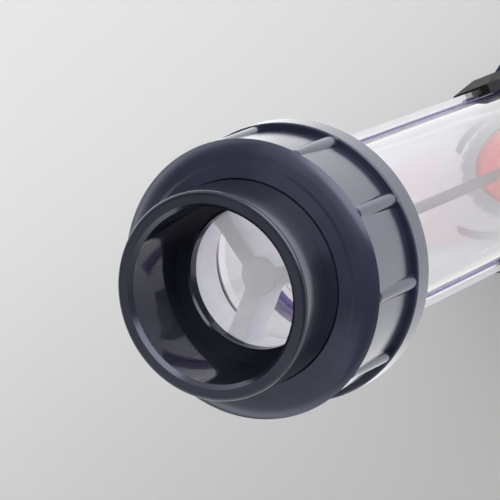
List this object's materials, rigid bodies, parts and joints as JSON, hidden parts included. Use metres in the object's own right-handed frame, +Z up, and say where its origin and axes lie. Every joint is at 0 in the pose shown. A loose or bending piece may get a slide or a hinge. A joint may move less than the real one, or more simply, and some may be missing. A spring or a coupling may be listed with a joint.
{
  "type": "rotameter",
  "caption": "Clear tube variable-area flow meter with a guided float, slide-on setting pointers and ribbed union nuts on solvent-socket ends.",
  "frame": {"origin": "centre of the inlet socket's mouth, at the bottom of the lower connector", "axes": "+Z up along the tube and the flow, the pointer rails on +X and -X, the scale's side towards -Y"},
  "size_m": [0.1042, 0.1042, 0.4258],
  "materials": {
    "pvc_connector": "injection-moulded rigid vinyl, polished socket",
    "pvc_nut": "injection-moulded rigid vinyl, satin",
    "seal": "moulded rubber",
    "clear_tube": "clear moulded plastic with a faint violet tint",
    "guide": "moulded, satin",
    "rod": "ground stainless steel",
    "buffer": "moulded soft plastic",
    "float_red": "turned plastic, satin",
    "float_grey": "turned plastic",
    "weight": "turned steel",
    "bush": "turned low-friction plastic",
    "pointer": "moulded, fine satin"
  },
  "bodies": {
    "inlet_end": {"lower_connector": "pvc_connector", "lower_seal_ring": "seal"},
    "inlet_nut": {"lower_union_nut": "pvc_nut"},
    "meter": {"metering_tube": "clear_tube", "lower_guide": "guide", "upper_guide": "guide", "guide_rod": "rod", "lower_float_stop": "buffer", "upper_float_stop": "buffer"},
    "float": {"float_body": "float_red", "float_cap": "float_red", "float_ring": "float_grey", "float_weight": "weight", "lower_bush": "bush", "upper_bush": "bush"},
    "low_pointer": {"left_pointer": "pointer"},
    "high_pointer": {"right_pointer": "pointer"},
    "outlet_end": {"upper_connector": "pvc_connector", "upper_seal_ring": "seal"},
    "outlet_nut": {"upper_union_nut": "pvc_nut"}
  },
  "joints": [
    {"name": "inlet_nut_turn", "type": "hinge", "parent": "inlet_end", "child": "inlet_nut", "pos_m": [0, 0, 0], "axis": [0, 0, -1], "range_deg": [0, 1500]},
    {"name": "inlet_parting", "type": "slide", "parent": "inlet_end", "child": "meter", "axis": [0, 0, 1], "range_m": [0, 0.025]},
    {"name": "outlet_parting", "type": "slide", "parent": "meter", "child": "outlet_end", "axis": [0, 0, 1], "range_m": [0, 0.025]},
    {"name": "outlet_nut_turn", "type": "hinge", "parent": "outlet_end", "child": "outlet_nut", "pos_m": [0, 0, 0], "axis": [0, 0, 1], "range_deg": [0, 1500]},
    {"name": "float_rise", "type": "slide", "parent": "meter", "child": "float", "axis": [0, 0, 1], "range_m": [0, 0.203]},
    {"name": "low_pointer_slide", "type": "slide", "parent": "meter", "child": "low_pointer", "axis": [0, 0, 1], "range_m": [-0.0245, 0.1627]},
    {"name": "high_pointer_slide", "type": "slide", "parent": "meter", "child": "high_pointer", "axis": [0, 0, 1], "range_m": [-0.0515, 0.1357]}
  ],
  "couplings": [
    {"joint": "inlet_parting", "follows": "inlet_nut_turn", "m_per_rad": 0.00095493},
    {"joint": "outlet_parting", "follows": "outlet_nut_turn", "m_per_rad": 0.00095493}
  ]
}
